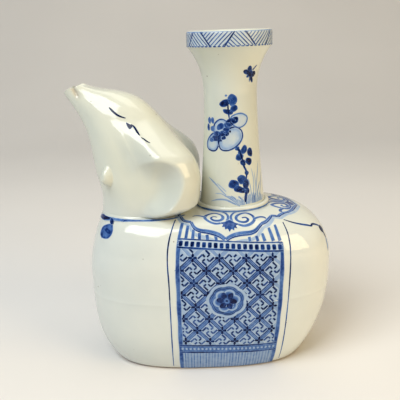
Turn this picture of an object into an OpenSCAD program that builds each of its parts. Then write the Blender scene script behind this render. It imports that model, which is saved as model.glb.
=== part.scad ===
// Kendi in the form of an elephant: a hollow porcelain vessel that is filled through its tall neck
// and poured through the raised trunk. Every piece is moulded, thrown or rolled by itself and luted
// to the others with slip. Origin at the centre of the foot, +X towards the tail, +Y to the
// elephant's right, +Z up, millimetres.

/* [Body] */
// Length of the body at its widest
body_len = 154.4; // [146:0.2:176]
// Width of the body at its widest
body_wid = 92.8; // [86:0.2:104]
// Height of the flat top of the shoulder
body_h = 97.6; // [90:0.2:108]
// Height where the body is widest
belly_h = 63.5; // [58:0.5:70]
// Height of the seam between the two moulded halves
seam_h = 47; // [40:0.5:54]
// Tuck of the foot at the front
foot_front = 13.4; // [10:0.2:16]
// Tuck of the foot at the back
foot_back = 19.2; // [14:0.2:22]
// Tuck of the foot at each side
foot_side = 8.6; // [6:0.2:11]
// Distance from the front of the body to the flat top
deck_front = 11; // [8:0.2:14]
// Distance from the back of the body to the flat top
deck_back = 46; // [40:0.5:50]
// Width of the flat top
deck_wid = 54; // [50:1:60]
// Wall of both body halves
body_wall = 5; // [4:0.5:6]

/* [Base] */
// Thickness of the base slab
slab_t = 6; // [4:0.5:8]
// Width of the foot rim around the slab
foot_rim = 7; // [6:0.5:9]
// Softened edge round the foot
foot_edge = 1.2; // [0.6:0.2:2]

/* [Luting] */
// Thickness of the slip between pieces
slip_t = 0.8; // [0.5:0.1:1.2]
// How far the slip is squeezed out of a seam
slip_bead = 0.4; // [0.2:0.1:0.8]
// Gap left round a piece that is let into another or laid on a curve
let_in_gap = 0.15; // [0.1:0.05:0.3]

/* [Neck] */
// Length of the thrown neck, from the shoulder to the mouth ring
neck_h = 98; // [88:0.5:110]
// Radius of the foot of the neck
neck_foot_r = 20.8; // [19.6:0.2:22]
// Radius of the neck at its waist
neck_waist_r = 16.4; // [15.4:0.2:18]
// Radius of the flare under the mouth ring
neck_flare_r = 25.4; // [24:0.2:25.6]
// Radius of the bore at the waist
bore_r = 12; // [10:0.2:12.4]
// Length of the straight bore at the waist
bore_len = 26; // [16:1:32]
// Radius of the bore at the shoulder
bore_foot_r = 15; // [13:0.5:16]
// Width of the collar round the foot of the neck
collar_w = 2.6; // [2:0.2:3.6]
// Height of the collar
collar_h = 3; // [2.2:0.2:4]

/* [Mouth] */
// Outer radius of the mouth ring
mouth_r = 25.8; // [25:0.2:28]
// Height of the mouth ring
mouth_h = 9.7; // [8:0.1:12]
// Thickness of the lip
lip_t = 4.2; // [3:0.2:5]

/* [Head] */
// Length of the head where it meets the shoulder
head_len = 56; // [50:1:60]
// Height of the head above the shoulder, to the top of the trunk
head_h = 77.6; // [70:0.2:88]
// Width across the cheeks
head_wid = 57; // [50:1:62]
// Distance from the front of the body to the front of the head
head_inset = 9.2; // [8:0.2:12]
// Gap between the back of the head and the collar of the neck
head_gap = 4.2; // [3:0.2:7]
// Wall of the head at its base
head_wall = 4.5; // [4:0.25:5.5]
// Wall of the trunk at its tip
spout_wall = 3; // [2.5:0.25:3.5]
// Radius of the passage from the body into the head
passage_r = 12; // [9:0.5:13]
// Radius of the notch between the two lips of the trunk
notch_r = 1.5; // [1:0.1:1.9]

/* [Ears and tusks] */
// How far the rim of an ear stands off the head
ear_lift = 15.6; // [11:0.2:17]
// Thickness of an ear where it feathers into the head
ear_feather = 0.8; // [0.5:0.1:1.2]
// Length of a tusk stub
tusk_len = 12.5; // [10:0.5:15]
// Width of a tusk stub
tusk_wid = 8; // [6.5:0.5:9]

/* [Hidden] */

// Squareness of the outlines, where 2 is an ellipse
plan_power = 2.8;
shoulder_power = 2.45;
front_power = 1.35;
foot_power = [4, 2.4, 4.6];
head_power = [2.1, 2.5];

// Facets round the body and up each of its halves, and rows of facets between two head stations
ring_n = 52;
rise_n = 9;
inner_n = 6;
station_n = 4;
// Columns of facets round half a head, in degrees from its front edge, closer together at the ear
TURNS = [for (t = [0 : 11.25 : 70]) t, for (t = [75 : 5 : 150]) t, for (t = [157.5 : 7.5 : 180]) t];
arc_n = len(TURNS) - 1;

belly = [body_len, body_wid] / 2;

head_x = head_inset - body_len / 2;
neck_x = head_x + head_len + head_gap + neck_foot_r + collar_w;
passage_x = head_x + head_len / 2;
// Where the foot of the head bends over the edge of the deck, in from its outside
seat_in = 0.4 * head_wall;
neck_top = body_h + neck_h;
waist_z = body_h + 0.7 * neck_h;

// Head stations from the shoulder to the tip of the trunk: the front edge and the back edge of each
// section, in percent of the head's length and height, then half its width in percent of the width
HEAD = [
    [0, 0, 100, 0, 49],
    [1, 15, 105, 17, 50],
    [-4, 33, 103, 38, 48],
    [-8, 55, 82, 62, 41],
    [-13, 68, 54, 85, 31],
    [-21, 80, 29, 94, 22],
    [-27, 87, 4, 98, 16],
    [-33, 94, -10, 100, 13],
];
head_last = (len(HEAD) - 1) * station_n;

// Ear patch on the head's own grid: its rows along the head and its columns round the head
ear_rows = [1, 14];
ear_cols = [7, arc_n - 1];
// Middle of the hollow of the ear and its reach to the rim, in degrees round the head and in
// shares of its height
ear_hollow = [97, 0.23];
ear_reach = [19, 0.24];
// How the hollow leans forward as it goes down, in degrees over the height of the head
ear_lean = 32;
// Thickness left in the hollow and how crisp its lip is
ear_floor = 0.14;
ear_crisp = 6;

// Signed power, smooth step and a unit vector
function spow(v, e) = sign(v) * pow(abs(v), e);
function smooth(v) = let(t = min(1, max(0, v))) t * t * (3 - 2 * t);
function unit(v) = v / norm(v);

// Superellipse ring at height z
function ring(half, centre, z) = [
    for (i = [0 : ring_n - 1])
        let(t = 360 * i / ring_n)
        [centre + half.x * spow(cos(t), 2 / plan_power), half.y * spow(sin(t), 2 / plan_power), z]
];

// Body at height z: tucked in below the belly, rounded over above it, set in by inset from the outside
function tuck(z, power) = pow(max(0, belly_h - z) / belly_h, power);
function round_over(z, power) =
    let(t = min(1, max(0, z - belly_h) / (body_h - belly_h))) 1 - pow(1 - pow(t, power), 1 / power);
function body_front(z) =
    -belly.x + foot_front * tuck(z, foot_power[0]) + deck_front * round_over(z, front_power);
function body_back(z) =
    belly.x - foot_back * tuck(z, foot_power[1]) - deck_back * round_over(z, shoulder_power);
function body_side(z) =
    belly.y - foot_side * tuck(z, foot_power[2])
    - (belly.y - deck_wid / 2) * round_over(z, shoulder_power);
function body_half(z, inset) = [(body_back(z) - body_front(z)) / 2 - inset, body_side(z) - inset];
function body_centre(z) = (body_back(z) + body_front(z)) / 2;
function body_ring(z, inset, lower = 0) = ring(body_half(z, inset), body_centre(z), z - lower);

// Heights of the rings above the belly, closer together where the shoulder turns over
function shoulder_rise(k, count) =
    belly_h + (body_h - belly_h) * pow(sin(90 * k / count), 2 / shoulder_power);

// Height of the shoulder above the point x, y
function outside(x, y, z) =
    let(h = body_half(z, 0), c = body_centre(z))
    pow(abs(x - c) / h.x, plan_power) + pow(abs(y) / h.y, plan_power) > 1;
function shoulder_z(x, y, low = belly_h, high = body_h, tries = 24) =
    let(mid = (low + high) / 2)
    !outside(x, y, body_h) ? body_h
    : tries == 0 ? mid
    : outside(x, y, mid) ? shoulder_z(x, y, low, mid, tries - 1)
    : shoulder_z(x, y, mid, high, tries - 1);

// Smooth curve through rows of numbers, with u counted in rows
function row(rows, i) = rows[min(len(rows) - 1, max(0, i))];
function along(rows, u) =
    let(i = min(len(rows) - 2, floor(u)), t = u - i,
        a = row(rows, i - 1), b = row(rows, i), c = row(rows, i + 1), d = row(rows, i + 2))
    0.5 * (2 * b + (c - a) * t + (2 * a - 5 * b + 4 * c - d) * t * t
           + (3 * b - a - 3 * c + d) * t * t * t);

// Point of the head at grid row i and column j, inset from the outside; side is -1 on the left
function head_station(i) = along(HEAD, i / station_n) / 100;
function head_edge(x, z) = [head_x + x * head_len, body_h + slip_t + z * head_h];
function head_point(i, j, inset, side) =
    let(s = head_station(i), turn = TURNS[j],
        power = head_power[0] + (head_power[1] - head_power[0]) * smooth(i / 8),
        front = head_edge(s[0], s[1]), back = head_edge(s[2], s[3]),
        mid = (front + back) / 2, dir = unit(back - front),
        reach = -(norm(back - front) / 2 - inset) * spow(cos(turn), 2 / power),
        x = mid.x + reach * dir.x,
        y = side * (s[4] * head_wid - inset) * pow(max(0, sin(turn)), 2 / power))
    [x, y, i == 0 ? shoulder_z(x, y) + slip_t : mid.y + reach * dir.y];
function head_row(i, inset, side) = [for (j = [0 : arc_n]) head_point(i, j, inset, side)];
function head_inset_at(i) = head_wall + (spout_wall - head_wall) * i / head_last;
function head_middle(i) =
    let(a = head_point(i, 0, 0, 1), b = head_point(i, arc_n, 0, 1)) (a + b) / 2;

// Lip of the ear, from 0 in the hollow to 1 on the rim, fading out towards the cheek and below
function ear_lip(up, out) =
    let(bowl = pow(min(norm([up, out]), 1.7), 2.2),
        rim = -ln(exp(-ear_crisp * bowl) + exp(-ear_crisp)) / ear_crisp)
    max(0, rim) * smooth(cos(atan2(up, out) - 20) + 0.75);
// How far the ear stands off the head: a swelling behind the cheek, scooped out inside its lip
function ear_height(turn, z) =
    let(rise = z - ear_hollow[1],
        out = (turn - ear_hollow[0] - ear_lean * rise) / ear_reach[0],
        lip = ear_lip(rise / ear_reach[1], out),
        swell = smooth((turn - 76) / 34) * (1 - smooth((turn - 122) / 62))
                * smooth((z + 0.05) / 0.15) * (1 - smooth((z - 0.43) / 0.33)))
    ear_feather + ear_lift * swell * (ear_floor + (1 - ear_floor) * lip);
function ear_point(i, j, side) =
    let(p = head_point(i, j, 0, side), m = head_middle(i))
    p + ear_height(TURNS[j], (p.z - body_h) / head_h) * unit([p.x - m.x, p.y, (p.z - m.z) / 2]);

// Side faces between rings r and r + 1 of n points each, closed round the ring
function band(r, s, n) = [
    for (i = [0 : n - 1]) each
        [[r * n + i, r * n + (i + 1) % n, s * n + (i + 1) % n],
         [r * n + i, s * n + (i + 1) % n, s * n + i]]
];

// Closed solid whose rings follow each other right round a wall
module wall_loop(rings) {
    count = len(rings);
    n = len(rings[0]);
    polyhedron([for (r = rings) each r],
               [for (k = [0 : count - 1]) each band((k + 1) % count, k, n)]);
}

// Closed solid with a domed wall: the rings rise outside to ring top, then come down inside
module wall_dome(rings, top) {
    count = len(rings);
    n = len(rings[0]);
    polyhedron([for (r = rings) each r],
               concat([for (k = [0 : count - 1]) if (k != top) each band((k + 1) % count, k, n)],
                      [[for (i = [n - 1 : -1 : 0]) top * n + i]],
                      [[for (i = [0 : n - 1]) (top + 1) * n + i]]));
}

// Closed solid between two grids of points of the same size, the first one outside
module wall_patch(outer, inner, flip) {
    rows = len(outer);
    cols = len(outer[0]);
    far = rows * cols;
    grid = [for (i = [0 : rows - 2]) for (j = [0 : cols - 2])
            [i * cols + j, (i + 1) * cols + j, (i + 1) * cols + j + 1, i * cols + j + 1]];
    rim = concat([for (j = [0 : cols - 1]) j],
                 [for (i = [1 : rows - 1]) i * cols + cols - 1],
                 [for (j = [cols - 2 : -1 : 0]) (rows - 1) * cols + j],
                 [for (i = [rows - 2 : -1 : 1]) i * cols]);
    count = len(rim);
    edge = [for (k = [0 : count - 1])
            [rim[k], rim[(k + 1) % count], far + rim[(k + 1) % count], far + rim[k]]];
    quads = concat(grid, [for (q = grid) [for (k = [3 : -1 : 0]) far + q[k]]], edge);
    faces = [for (q = quads) each [[q[0], q[1], q[2]], [q[0], q[2], q[3]]]];
    polyhedron(concat([for (r = outer) each r], [for (r = inner) each r]),
               flip ? [for (f = faces) [f[2], f[1], f[0]]] : faces);
}

// Outline of the base slab, set in from the foot
function slab_ring(gap, z) = ring(body_half(0, foot_rim + gap), body_centre(0), z);

// Rolled slab that closes the bottom of the body
module base_slab() {
    color("antiquewhite") linear_extrude(slab_t)
        polygon([for (p = slab_ring(let_in_gap, 0)) [p.x, p.y]]);
}

// Moulded lower half of the body, with a seat for the base slab in its foot
module body_lower() {
    rise = seam_h - foot_edge;
    outer = [for (k = [0 : rise_n]) body_ring(foot_edge + rise * (1 - pow(1 - k / rise_n, 1.6)), 0)];
    inner = [
        for (k = [inner_n : -1 : 0]) body_ring(slab_t + (seam_h - slab_t) * k / inner_n, body_wall)
    ];
    color("ivory")
        wall_loop(concat(
            [body_ring(0, foot_edge)], outer, inner, [slab_ring(0, slab_t)], [slab_ring(0, 0)]));
}

// Slip squeezed out of the seam between the halves of the body
module body_seam_slip() {
    low = seam_h;
    mid = seam_h + slip_t / 2;
    high = seam_h + slip_t;
    color("ivory") wall_loop([
        body_ring(low, 0), body_ring(mid, -slip_bead), body_ring(high, 0),
        body_ring(high, body_wall), body_ring(mid, body_wall + slip_bead), body_ring(low, body_wall)]);
}

// Moulded upper half of the body, with the holes under the neck and under the head
module body_upper() {
    start = seam_h + slip_t;
    shrink = body_wall / (body_h - belly_h);
    outer = [for (k = [0 : rise_n]) body_ring(shoulder_rise(k, rise_n), 0)];
    inner = [for (k = [inner_n : -1 : 0])
             let(z = shoulder_rise(k, inner_n)) body_ring(z, body_wall, (z - belly_h) * shrink)];
    color("ivory") difference() {
        wall_dome(
            concat([body_ring(start, 0)], outer, inner, [body_ring(start, body_wall)]), rise_n + 1);
        translate([neck_x, 0, seam_h]) cylinder(r = bore_foot_r, h = body_h, $fn = 64);
        translate([passage_x, 0, seam_h]) cylinder(r = passage_r, h = body_h, $fn = 64);
    }
}

// Outline of the neck from its foot to the flare, as radius and height
function neck_radius(z) =
    neck_waist_r + (neck_foot_r - neck_waist_r) * pow(max(0, 1 - z / 0.75), 1.8)
    + (neck_flare_r - neck_waist_r) * pow(max(0, z - 0.7) / 0.3, 2.5);
function neck_outline() =
    [[neck_foot_r, 0], for (k = [0 : 24]) let(z = collar_h + (neck_h - collar_h) * k / 24)
        [neck_radius(z / neck_h), z]];

// Thrown neck with its bore
module neck_tube() {
    straight = [waist_z - body_h - bore_len / 2, waist_z - body_h + bore_len / 2];
    bore = [
        [bore_foot_r, 0], [bore_r, straight[0]], [bore_r, straight[1]],
        for (k = [1 : 8]) let(u = k / 8)
            [bore_r + (mouth_r - lip_t - bore_r) * smooth(u), straight[1] + (neck_h - straight[1]) * u]
    ];
    color("ivory") translate([neck_x, 0, body_h]) rotate_extrude($fn = 96)
        polygon(concat(neck_outline(), [for (k = [len(bore) - 1 : -1 : 0]) bore[k]]));
}

// Rolled collar round the foot of the neck
module neck_collar() {
    inner = neck_foot_r + let_in_gap;
    soft = (collar_w - let_in_gap) / 2;
    color("ivory") translate([neck_x, 0, body_h]) rotate_extrude($fn = 96) union() {
        translate([inner, 0]) square([2 * soft, collar_h - soft]);
        translate([inner + soft, collar_h - soft]) circle(r = soft, $fn = 32);
    }
}

// Upright band of the mouth with its rounded lip
module mouth_ring() {
    lip = lip_t / 2;
    color("ivory") translate([neck_x, 0, neck_top]) rotate_extrude($fn = 96) union() {
        translate([mouth_r - lip_t, 0]) square([lip_t, mouth_h - lip]);
        translate([mouth_r - lip, mouth_h - lip]) circle(r = lip, $fn = 32);
    }
}

// Slip round the foot of the head, on the curve of the shoulder
module head_joint_slip() {
    turns = [for (side = [1, -1]) for (j = [0 : arc_n - 1]) [side > 0 ? j : arc_n - j, side]];
    function foot_ring(inset, up) = [
        for (t = turns) let(p = head_point(0, t[0], inset, t[1])) [p.x, p.y, shoulder_z(p.x, p.y) + up]
    ];
    low = 2 * let_in_gap;
    mid = (low + slip_t) / 2;
    color("ivory") wall_loop([
        foot_ring(0, low), foot_ring(-slip_bead, mid), foot_ring(0, slip_t),
        foot_ring(seat_in, slip_t), foot_ring(head_wall, slip_t),
        foot_ring(head_wall + slip_bead, mid), foot_ring(head_wall, low), foot_ring(seat_in, low)
    ]);
}

// One moulded half of the head, from the shoulder to the lips of the trunk
module head_half(side) {
    lips = (head_edge(HEAD[len(HEAD) - 1][0] / 100, HEAD[len(HEAD) - 1][1] / 100)
            + 1.6 * head_edge(HEAD[len(HEAD) - 1][2] / 100, HEAD[len(HEAD) - 1][3] / 100)) / 2.6;
    difference() {
        wall_patch(
            concat([head_row(0, seat_in, side)],
                   [for (i = [0 : head_last]) head_row(i, 0, side)]),
            concat([head_row(0, seat_in + let_in_gap, side)],
                   [for (i = [0 : head_last]) head_row(i, head_inset_at(i), side)]),
            side > 0);
        translate([lips.x, 0, lips.y]) rotate([90, 0, 0])
            cylinder(r = notch_r, h = head_wid, center = true, $fn = 32);
    }
}
module head_left() { color("ivory") head_half(-1); }
module head_right() { color("ivory") head_half(1); }

// Cupped ear luted to the side of the head
module ear(side) {
    rows = [ear_rows[0] : ear_rows[1]];
    cols = [ear_cols[0] : ear_cols[1]];
    wall_patch([for (i = rows) [for (j = cols) ear_point(i, j, side)]],
               [for (i = rows) [for (j = cols) head_point(i, j, 0, side)]], side > 0);
}
module ear_left() { color("ivory") ear(-1); }
module ear_right() { color("ivory") ear(1); }

// Stub of a tusk on the cheek, with a flat root
module tusk(side) {
    root = head_point(8, 5, 0, side);
    out = unit(cross(head_point(9, 5, 0, side) - head_point(7, 5, 0, side),
                     head_point(8, 6, 0, side) - head_point(8, 4, 0, side))) * side;
    r = tusk_wid / 2;
    translate(root) rotate([0, -asin(out.z), atan2(out.y, out.x)]) intersection() {
        hull() {
            translate([0.1 * r, 0, (tusk_len / 2 - r)]) sphere(r = 0.9 * r, $fn = 16);
            translate([0.35 * r, 0, -(tusk_len / 2 - r)]) sphere(r = r, $fn = 16);
        }
        translate([2 * let_in_gap, -tusk_len, -tusk_len]) cube(2 * tusk_len);
    }
}
module tusk_left() { color("ivory") tusk(-1); }
module tusk_right() { color("ivory") tusk(1); }

base_slab();
body_lower();
body_seam_slip();
body_upper();
neck_collar();
neck_tube();
mouth_ring();
head_joint_slip();
head_left();
head_right();
ear_left();
ear_right();
tusk_left();
tusk_right();
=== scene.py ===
import bmesh
import bpy
import numpy as np
from mathutils import Matrix, Vector


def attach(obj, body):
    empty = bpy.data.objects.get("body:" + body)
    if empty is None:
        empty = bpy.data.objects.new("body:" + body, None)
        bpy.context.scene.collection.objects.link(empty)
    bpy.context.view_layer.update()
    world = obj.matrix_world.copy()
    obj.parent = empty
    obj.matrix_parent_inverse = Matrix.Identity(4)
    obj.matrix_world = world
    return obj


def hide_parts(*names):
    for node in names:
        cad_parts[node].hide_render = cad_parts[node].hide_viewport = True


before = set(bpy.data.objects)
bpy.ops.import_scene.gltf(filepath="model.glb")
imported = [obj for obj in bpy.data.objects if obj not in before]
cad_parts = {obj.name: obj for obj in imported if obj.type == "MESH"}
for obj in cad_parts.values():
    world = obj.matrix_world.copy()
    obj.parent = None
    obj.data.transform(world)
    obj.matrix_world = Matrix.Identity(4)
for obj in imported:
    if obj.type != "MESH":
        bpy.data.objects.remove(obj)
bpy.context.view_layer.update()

rng = np.random.default_rng(7)
scene = bpy.context.scene

# Sizes in millimetres, by the names that they have in part.scad
BODY_LEN, BODY_WID, BODY_H = 154.4, 92.8, 97.6
BELLY_H, SEAM_H = 63.5, 47.0
FOOT_FRONT, FOOT_BACK, FOOT_SIDE = 13.4, 19.2, 8.6
DECK_FRONT, DECK_BACK, DECK_WID = 11.0, 46.0, 54.0
BODY_WALL = 5.0
SLAB_T, FOOT_RIM, FOOT_EDGE = 6.0, 7.0, 1.2
SLIP_T = 0.8
NECK_H, NECK_FOOT_R, NECK_WAIST_R, NECK_FLARE_R = 98.0, 20.8, 16.4, 25.4
BORE_R, BORE_LEN, BORE_FOOT_R = 12.0, 26.0, 15.0
COLLAR_W, COLLAR_H = 2.6, 3.0
MOUTH_R, MOUTH_H, LIP_T = 25.8, 9.7, 4.2
HEAD_LEN, HEAD_H, HEAD_WID = 56.0, 77.6, 57.0
HEAD_INSET, HEAD_GAP = 9.2, 4.2
HEAD_WALL, SPOUT_WALL = 4.5, 3.0

# Squareness of the outlines, where 2 is an ellipse
PLAN_POWER, SHOULDER_POWER, FRONT_POWER = 2.8, 2.45, 1.35
FOOT_POWER = (4, 2.4, 4.6)
HEAD_POWER = (2.1, 2.5)

HEAD_X, HEAD_Z = HEAD_INSET - BODY_LEN / 2, BODY_H + SLIP_T
NECK_X = HEAD_X + HEAD_LEN + HEAD_GAP + NECK_FOOT_R + COLLAR_W
NECK_TOP = BODY_H + NECK_H
COLLAR_R = NECK_FOOT_R + COLLAR_W
# Shares of the neck's height: its waist, from where it flares, and the end of its foot; how sharply
# both curves bend
WAIST, FOOT_END = 0.7, 0.75
FLARE_BEND, FOOT_BEND = 2.5, 1.8
# Swell over the body's seam: how far it stands out and spreads
SEAM_SWELL, SEAM_SPREAD = 0.14, 1.2

# Head from the shoulder to the lips: front x and z, back x and z, half width, all in percent of its
# length, height and width, and then in millimetres
HEAD_SHARES = np.array([
    [0, 0, 100, 0, 49],
    [1, 15, 105, 17, 50],
    [-4, 33, 103, 38, 48],
    [-8, 55, 82, 62, 41],
    [-13, 68, 54, 85, 31],
    [-21, 80, 29, 94, 22],
    [-27, 87, 4, 98, 16],
    [-33, 94, -10, 100, 13],
]) / 100
HEAD = HEAD_SHARES * [HEAD_LEN, HEAD_H, HEAD_LEN, HEAD_H, HEAD_WID] + [HEAD_X, HEAD_Z, HEAD_X, HEAD_Z, 0]
HEAD_END = len(HEAD) - 1


def spow(v, e):
    """Power that keeps the sign."""
    return np.sign(v) * np.abs(v) ** e


def ease(v, start, end):
    """Smooth step from 0 at start to 1 at end; it falls where end is the smaller one."""
    t = np.clip((v - start) / (end - start), 0.0, 1.0)
    return t * t * (3 - 2 * t)


def unit(v):
    return v / np.maximum(np.linalg.norm(v, axis=-1, keepdims=True), 1e-12)


def xyz(x, y, z):
    return np.stack(np.broadcast_arrays(x, y, z), -1)


def whole_turn(count):
    return np.linspace(0, 2 * np.pi, count, endpoint=False)


def through(a, b, c, d, t):
    """Smooth curve from b to c at shares t of the way, with a before it and d after it."""
    return 0.5 * (2 * b + (c - a) * t + (2 * a - 5 * b + 4 * c - d) * t ** 2
                  + (3 * b - a - 3 * c + d) * t ** 3)


# Body

def tuck(z, power):
    return (np.maximum(0.0, BELLY_H - z) / BELLY_H) ** power


def round_over(z, power):
    t = np.clip((z - BELLY_H) / (BODY_H - BELLY_H), 0.0, 1.0)
    return 1 - (1 - t ** power) ** (1 / power)


def body_half(z):
    """Middle, half length and half width of the body at height z."""
    belly_x, belly_y = BODY_LEN / 2, BODY_WID / 2
    front = -belly_x + FOOT_FRONT * tuck(z, FOOT_POWER[0]) + DECK_FRONT * round_over(z, FRONT_POWER)
    back = belly_x - FOOT_BACK * tuck(z, FOOT_POWER[1]) - DECK_BACK * round_over(z, SHOULDER_POWER)
    deck_in = belly_y - DECK_WID / 2
    side = belly_y - FOOT_SIDE * tuck(z, FOOT_POWER[2]) - deck_in * round_over(z, SHOULDER_POWER)
    seam = SEAM_SWELL * np.exp(-((z - SEAM_H - SLIP_T / 2) / SEAM_SPREAD) ** 2)
    return (front + back) / 2, (back - front) / 2 + seam, side + seam


def body_point(turn, z, inset=0.0):
    c, a, b = body_half(z)
    t = np.radians(turn)
    x = c + (a - inset) * spow(np.cos(t), 2 / PLAN_POWER)
    y = (b - inset) * spow(np.sin(t), 2 / PLAN_POWER)
    return xyz(x, y, z)


def body_reach(x, y, z):
    c, a, b = body_half(z)
    return np.abs((x - c) / a) ** PLAN_POWER + np.abs(y / b) ** PLAN_POWER


def shoulder_z(x, y):
    """Height of the shoulder over x and y, by halving."""
    x, y = np.broadcast_arrays(x, y)
    low, high = np.full(x.shape, BELLY_H), np.full(x.shape, BODY_H)
    for _ in range(36):
        mid = (low + high) / 2
        inside = body_reach(x, y, mid) <= 1
        low, high = np.where(inside, mid, low), np.where(inside, high, mid)
    return np.where(body_reach(x, y, BODY_H) <= 1, BODY_H, low)


def shoulder_surface(x, y):
    return xyz(x, y, shoulder_z(x, y))


def shoulder_rise(count):
    """Heights from the belly to the deck, closer together where the shoulder turns over."""
    return BELLY_H + (BODY_H - BELLY_H) * np.sin(np.linspace(0, np.pi / 2, count))


# Heights up the side of the body, and the way along the surface from the foot to each of them
SIDE_Z = np.concatenate([np.linspace(0, BELLY_H, 300), shoulder_rise(600)[1:]])
SIDE_STEPS = np.hypot(np.diff(SIDE_Z), np.diff(body_half(SIDE_Z)[2]))
SIDE_CLIMB = np.concatenate([[0], np.cumsum(SIDE_STEPS)])


def side_surface(sign):
    """Side of the body by x and by the way up from the foot; sign is -1 on the near side."""
    def at(x, v):
        z = np.interp(v, SIDE_CLIMB, SIDE_Z)
        c, a, b = body_half(z)
        y = b * np.maximum(0.0, 1 - np.abs((x - c) / a) ** PLAN_POWER) ** (1 / PLAN_POWER)
        return xyz(x, sign * y, z)
    return at


# Neck and mouth, by degrees round from the near side and by height above the foot of each

def neck_radius(h):
    share = h / NECK_H
    foot = np.maximum(0.0, 1 - share / FOOT_END) ** FOOT_BEND
    flare = (np.maximum(0.0, share - WAIST) / (1 - WAIST)) ** FLARE_BEND
    return NECK_WAIST_R + (NECK_FOOT_R - NECK_WAIST_R) * foot + (NECK_FLARE_R - NECK_WAIST_R) * flare


def mouth_radius(h):
    over = np.maximum(0, h - MOUTH_H + LIP_T / 2)
    return MOUTH_R - LIP_T / 2 + np.sqrt((LIP_T / 2) ** 2 - over ** 2)


def round_surface(radius, base, facing=0):
    def at(turn, h):
        t, r = np.radians(turn + facing), radius(h)
        return xyz(NECK_X + r * np.sin(t), -r * np.cos(t), base + h)
    return at


# Head, by stations u from the shoulder to the lips and by degrees round from its front edge

# Ear: middle of its hollow and reach to its rim, in degrees and in shares of the head's height, lean
# of the hollow over that height, how far the rim stands out, share left in the hollow, crispness
EAR_HOLLOW, EAR_REACH, EAR_LEAN = (97, 0.23), (19, 0.24), 32
EAR_LIFT, EAR_FLOOR, EAR_CRISP = 15.6, 0.14, 12
# Tusk stub: its place on the head, how far it is moved from there, half its width and length, height
TUSK_U, TUSK_TURN = 2.0, 56.25
TUSK_SHIFT, TUSK_HALF, TUSK_LIFT = (1.9, 1.5), (4.0, 6.2), 4.0
# Patches of the head that they cover, in degrees and in stations
EAR_TURNS, EAR_ROWS = (72.0, 180.0), (0.0, 3.9)
TUSK_TURNS, TUSK_ROWS = (30.0, 72.0), (1.45, 2.6)
# Way that the lips of the trunk rise
LIPS_UP = np.array([-0.15, 0.0, 0.99])


def head_station(u):
    u = np.clip(u, 0, HEAD_END)
    i = np.minimum(HEAD_END - 1, np.floor(u)).astype(int)
    near = np.clip(i[..., None] + np.arange(-1, 3), 0, HEAD_END)
    return through(*np.moveaxis(HEAD[near], -2, 0), (u - i)[..., None])


def head_base(u, turn, side, inset=0.0):
    """Points of the head without ear and tusk, and the middle of the section that each is on."""
    u, turn = np.broadcast_arrays(u, turn)
    s = head_station(u)
    power = HEAD_POWER[0] + (HEAD_POWER[1] - HEAD_POWER[0]) * ease(u, 0, 2)
    front, back = s[..., 0:2], s[..., 2:4]
    mid, across = (front + back) / 2, back - front
    span = np.linalg.norm(across, axis=-1)
    t = np.radians(turn)
    reach = -(span / 2 - inset) * spow(np.cos(t), 2 / power) / span
    x, z = np.moveaxis(mid + reach[..., None] * across, -1, 0)
    y = side * (s[..., 4] - inset) * np.maximum(0.0, np.sin(t)) ** (2 / power)
    # The foot follows the shoulder
    z = z + (shoulder_z(x, y) - BODY_H) * np.maximum(0.0, 1 - u / 0.25)
    return xyz(x, y, z), xyz(mid[..., 0], 0.0, mid[..., 1])


def ear_height(turn, z):
    """Cupped flange behind the cheek; its lip fades out towards the cheek and below."""
    rise = z - EAR_HOLLOW[1]
    up, out = rise / EAR_REACH[1], (turn - EAR_HOLLOW[0] - EAR_LEAN * rise) / EAR_REACH[0]
    bowl = np.minimum(np.hypot(up, out), 1.7) ** 2.5
    rim = -np.log(np.exp(-EAR_CRISP * bowl) + np.exp(-EAR_CRISP)) / EAR_CRISP
    lip = np.maximum(0, rim) * ease(np.cos(np.arctan2(up, out) - np.radians(20)), -0.75, 0.25)
    swell = ease(turn, 76, 110) * ease(turn, 184, 122) * ease(z, -0.05, 0.1) * ease(z, 0.76, 0.43)
    return EAR_LIFT * swell * (EAR_FLOOR + (1 - EAR_FLOOR) * lip)


def tusk_height(p, side):
    def at(u, turn):
        return head_base(u, turn, side)[0]
    along = unit(at(TUSK_U + 0.1, TUSK_TURN) - at(TUSK_U - 0.1, TUSK_TURN))
    across = unit(at(TUSK_U, TUSK_TURN + 2) - at(TUSK_U, TUSK_TURN - 2))
    away = p - at(TUSK_U, TUSK_TURN)
    a, b = away @ across + TUSK_SHIFT[0], away @ along + TUSK_SHIFT[1]
    r = np.hypot(a / (TUSK_HALF[0] - 0.06 * b), b / TUSK_HALF[1])
    return (TUSK_LIFT - 0.22 * b) * ease(r, 1.12, 0.17) ** 0.65


def lip_rise(u, turn):
    """The two lips of the trunk, with the notch between them."""
    near = 1.3 * ease(turn, 30, 78) * ease(turn, 95, 82)
    far = 0.8 * ease(turn, 96, 112) * ease(turn, 150, 128)
    back = 1.2 * ease(turn, 130, 170) * ease(u, 4.4, 6.0)
    return (near + far) * ease(u, 6.1, 7.0) - back


def between_lips(u, turn, width):
    """How near a point is to the groove that runs back from the notch."""
    return np.exp(-((turn - 95 + 15 * (HEAD_END - u)) / width) ** 2)


def lip_groove(u, turn):
    return -1.0 * between_lips(u, turn, 6.5) * ease(u, 5.7, 6.5)


def lip_stain(u, turn):
    return 0.55 * between_lips(u, turn, 8.0) * ease(u, 5.6, 6.3)


def head_surface(side):
    def at(u, turn):
        u, turn = np.broadcast_arrays(u, turn)
        p, middle = head_base(u, turn, side)
        out = unit((p - middle) * [1, 1, 0.5])
        height = ear_height(turn, (p[..., 2] - BODY_H) / HEAD_H) + tusk_height(p, side)
        height = height + lip_groove(u, turn)
        return p + height[..., None] * out + lip_rise(u, turn)[..., None] * LIPS_UP
    return at


# Meshes

def link(name, data):
    made = bpy.data.objects.new(name, data)
    scene.collection.objects.link(made)
    return made


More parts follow.
